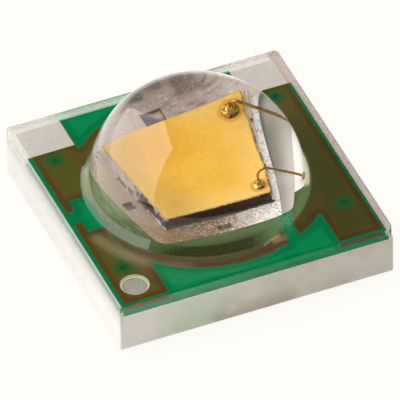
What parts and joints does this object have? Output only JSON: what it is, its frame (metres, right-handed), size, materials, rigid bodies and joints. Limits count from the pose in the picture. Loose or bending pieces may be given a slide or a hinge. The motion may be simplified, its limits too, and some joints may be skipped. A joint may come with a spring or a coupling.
{
  "type": "surface-mount led",
  "caption": "Surface-mount white LED: square ceramic tile with printed traces, a yellow phosphor-coated chip on gold bond wires, and a clear moulded dome lens.",
  "frame": {"origin": "centre of the square footprint, on the face of the solder pads that meets the circuit board", "axes": "+Z out through the dome; X runs across the solder pads, towards the side where the bond wires land; Y runs along the solder pads, away from the polarity dot"},
  "size_m": [0.0034, 0.0034, 0.002],
  "materials": {
    "ceramic": "matt fired white alumina, slightly translucent",
    "pad_silver": "matt plated silver",
    "trace_silver": "silver plated copper, fine grain",
    "via_copper": "copper fill",
    "mask_top": "printed green mask, brown-olive where copper lies below",
    "mask_bottom": "printed green mask",
    "die_attach": "metal-filled bond layer",
    "chip_carrier": "dark sawn sides",
    "phosphor": "fine-grained yellow coat",
    "gold": "polished gold",
    "silicone": "clear smooth moulded silicone"
  },
  "bodies": {
    "root": {"ceramic_substrate": "ceramic", "solder_pad_left": "pad_silver", "solder_pad_thermal": "pad_silver", "solder_pad_right": "pad_silver", "bottom_mask_left": "mask_bottom", "bottom_mask_right": "mask_bottom", "via_front_left": "via_copper", "via_front_right": "via_copper", "via_back_left": "via_copper", "via_back_right": "via_copper", "die_trace": "trace_silver", "wire_trace": "trace_silver", "solder_mask": "mask_top", "die_attach": "die_attach", "chip_carrier": "chip_carrier", "phosphor_layer": "phosphor", "chip_pad_front": "gold", "chip_pad_back": "gold", "bond_wire_front": "gold", "bond_wire_back": "gold", "lens": "silicone"}
  },
  "joints": []
}
